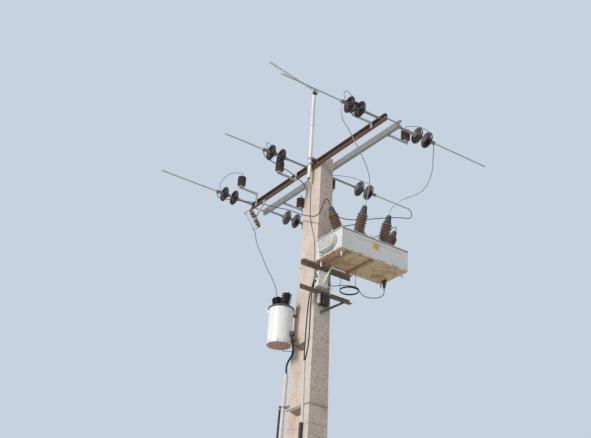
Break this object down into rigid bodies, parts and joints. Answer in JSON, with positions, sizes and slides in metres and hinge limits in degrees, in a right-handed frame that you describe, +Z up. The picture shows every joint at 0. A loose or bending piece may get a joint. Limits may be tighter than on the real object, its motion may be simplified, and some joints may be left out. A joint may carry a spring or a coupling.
{
  "type": "pole mounted transformer and switch on a concrete line pole",
  "caption": "Concrete line pole with crossarms, strain insulators, arresters, a gas-insulated switch with porcelain bushings, a small can transformer and a mast with an antenna",
  "frame": {"origin": "centre of the pole's section where it leaves the ground", "axes": "+X along the overhead line, +Y along the crossarms, +Z up"},
  "size_m": [3.8875, 3.6548, 11.555],
  "materials": {
    "concrete": "cast concrete, pitted and weathered",
    "rusty_steel": "rolled steel, brown with rust",
    "galvanised_steel": "hot dip galvanised, dull",
    "mast_paint": "white paint on steel tube",
    "antenna_metal": "weathered aluminium",
    "dark_porcelain": "dark brown glazed porcelain",
    "grip_wire": "laid wire, dull",
    "arrester_polymer": "brown weather sheds",
    "tank_paint": "off-white paint with rust stains",
    "tank_underside": "tan and rusty steel",
    "brown_porcelain": "brown glazed porcelain",
    "boot_rubber": "grey-black rubber",
    "lid_steel": "dark stained steel",
    "black_porcelain": "black glazed porcelain",
    "fuse_fibre": "white glass fibre tube",
    "cable_black": "black cable sheath",
    "conduit_grey": "grey plastic conduit",
    "conductor": "stranded aluminium conductor"
  },
  "bodies": {
    "root": {"pole": "concrete", "rusty_crossarm": "rusty_steel", "galvanised_crossarm": "galvanised_steel", "crossarm_bolts": "galvanised_steel", "mast_tube": "mast_paint", "mast_clamps": "galvanised_steel", "antenna_boom": "antenna_metal", "antenna_elements": "antenna_metal", "antenna_clamp": "galvanised_steel", "strain_links": "galvanised_steel", "strain_discs_left": "dark_porcelain", "strain_discs_right": "dark_porcelain", "strain_caps": "galvanised_steel", "wire_grips_left": "grip_wire", "wire_grips_right": "grip_wire", "surge_arresters_left": "arrester_polymer", "surge_arresters_right": "arrester_polymer", "arrester_brackets": "galvanised_steel", "arrester_leads": "conductor", "cutout_bracket": "galvanised_steel", "cutout_insulator": "brown_porcelain", "cutout_fuse_tube": "fuse_fibre", "fuse_lead": "conductor", "jumper_near_left": "conductor", "jumper_near_right": "conductor", "jumper_middle_left": "conductor", "jumper_middle_right": "conductor", "jumper_far_left": "conductor", "jumper_far_right": "conductor", "switch_tank": "tank_paint", "switch_lid": "tank_paint", "switch_end_cover": "tank_paint", "switch_feet": "tank_paint", "switch_underplate": "tank_underside", "bushing_turrets": "tank_paint", "bushing_porcelain": "brown_porcelain", "bushing_boots": "boot_rubber", "switch_support": "galvanised_steel", "lower_bracket": "rusty_steel", "bracket_brace": "rusty_steel", "control_box": "tank_paint", "operating_rods": "fuse_fibre", "post_insulator": "fuse_fibre", "cable_joint_box": "cable_black", "control_plug": "boot_rubber", "control_cable": "cable_black", "control_cable_coil": "cable_black", "transformer_tank": "tank_paint", "transformer_lid": "lid_steel", "transformer_bushings": "black_porcelain", "transformer_hanger": "galvanised_steel", "transformer_terminals": "boot_rubber", "pole_cables": "cable_black", "pale_conduits": "conduit_grey", "black_conduits": "cable_black", "pole_bands": "galvanised_steel"}
  },
  "joints": []
}
